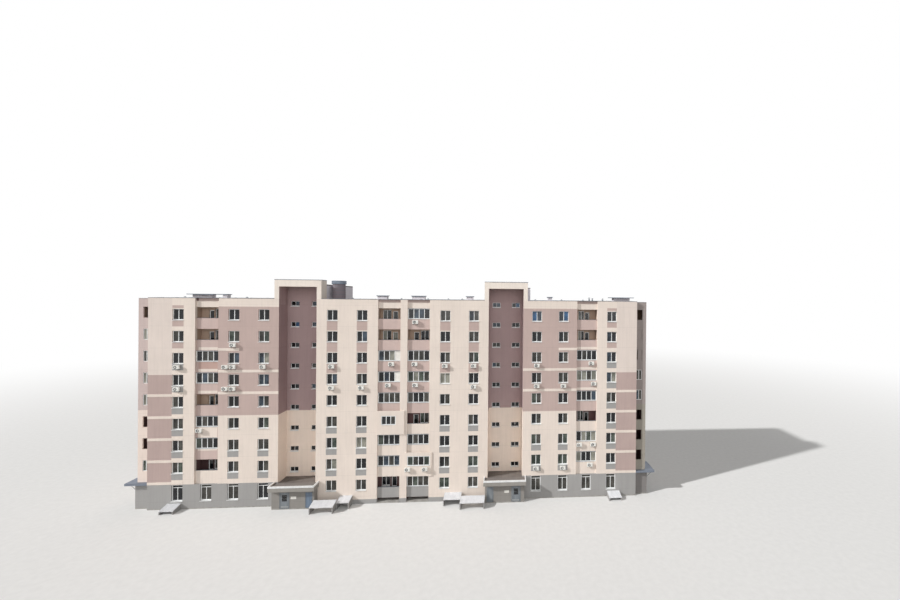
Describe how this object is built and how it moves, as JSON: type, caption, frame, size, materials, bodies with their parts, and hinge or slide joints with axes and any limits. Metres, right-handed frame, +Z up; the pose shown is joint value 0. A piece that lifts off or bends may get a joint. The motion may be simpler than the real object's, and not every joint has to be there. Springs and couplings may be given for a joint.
{
  "type": "apartment block, half-size scale model",
  "caption": "Long multi-storey apartment block at half size, with loggia stacks, two stair recesses under portal frames, porches with hinged doors and set-back end loggias.",
  "frame": {"origin": "on the underside of the ground slab, at the middle of the plan", "axes": "+X along the front to the right as seen from the street, +Y from the front into the building, +Z up"},
  "size_m": [36.82, 7.275, 15.8],
  "materials": {
    "cream_render": "matt painted render",
    "rose_render": "matt painted render",
    "mauve_render": "matt painted render in shade",
    "grey_render": "matt painted render",
    "concrete": "cast concrete",
    "bitumen": "rolled bitumen roofing",
    "sheet_metal": "painted folded sheet",
    "door_grey": "painted steel door",
    "door_blue": "painted steel door",
    "awning_sheet": "painted corrugated sheet",
    "glass": "clear window glass",
    "unit_white": "moulded casing",
    "frame_white": "extruded window profile"
  },
  "bodies": {
    "building": {"ground_slab": "concrete", "ground_storey_walls": "grey_render", "front_walls_end": "cream_render", "front_walls_inner": "rose_render", "front_walls_middle": "cream_render", "middle_pier": "cream_render", "end_walls": "cream_render", "back_walls_outer": "cream_render", "back_wall_middle": "cream_render", "rear_floors": "concrete", "bay_floors": "concrete", "loggia_floors": "concrete", "roof_rear": "bitumen", "roof_front": "bitumen", "cross_walls": "rose_render", "stair_recess_walls": "mauve_render", "stair_landings": "concrete", "portal_legs": "cream_render", "portal_beams": "cream_render", "stair_head_walls": "grey_render", "machine_rooms": "grey_render", "tower_roofs": "bitumen", "loggia_back_walls": "mauve_render", "loggia_parapets": "rose_render", "loggia_glazing": "glass", "balcony_enclosures": "cream_render", "end_loggia_fronts": "rose_render", "end_ground_walls": "grey_render", "end_canopies": "sheet_metal", "doorway_walls": "grey_render", "porch_side_walls": "grey_render", "porch_beams": "grey_render", "porch_canopies": "concrete", "door_pivots": "sheet_metal", "window_glass": "glass", "awning_roofs": "awning_sheet", "awning_walls": "grey_render", "coping": "sheet_metal", "vent_shafts": "grey_render", "vent_caps": "sheet_metal", "cooling_units": "unit_white"},
    "entrance_door_left": {"entrance_door_left": "door_grey"},
    "entrance_door_right": {"entrance_door_right": "door_grey"},
    "bin_door_left": {"bin_door_left": "door_blue"},
    "bin_door_right": {"bin_door_right": "door_blue"}
  },
  "joints": [
    {"name": "entrance_door_left_hinge", "type": "hinge", "parent": "building", "child": "entrance_door_left", "pos_m": [-8.081, -3.462, 0.6], "axis": [0, 0, -1], "range_deg": [0, 90]},
    {"name": "entrance_door_right_hinge", "type": "hinge", "parent": "building", "child": "entrance_door_right", "pos_m": [8.331, -3.462, 0.6], "axis": [0, 0, 1], "range_deg": [0, 90]},
    {"name": "bin_door_left_hinge", "type": "hinge", "parent": "building", "child": "bin_door_left", "pos_m": [-6.3935, -3.462, 0.6], "axis": [0, 0, -1], "range_deg": [0, 90]},
    {"name": "bin_door_right_hinge", "type": "hinge", "parent": "building", "child": "bin_door_right", "pos_m": [6.3935, -3.462, 0.6], "axis": [0, 0, 1], "range_deg": [0, 90]}
  ]
}
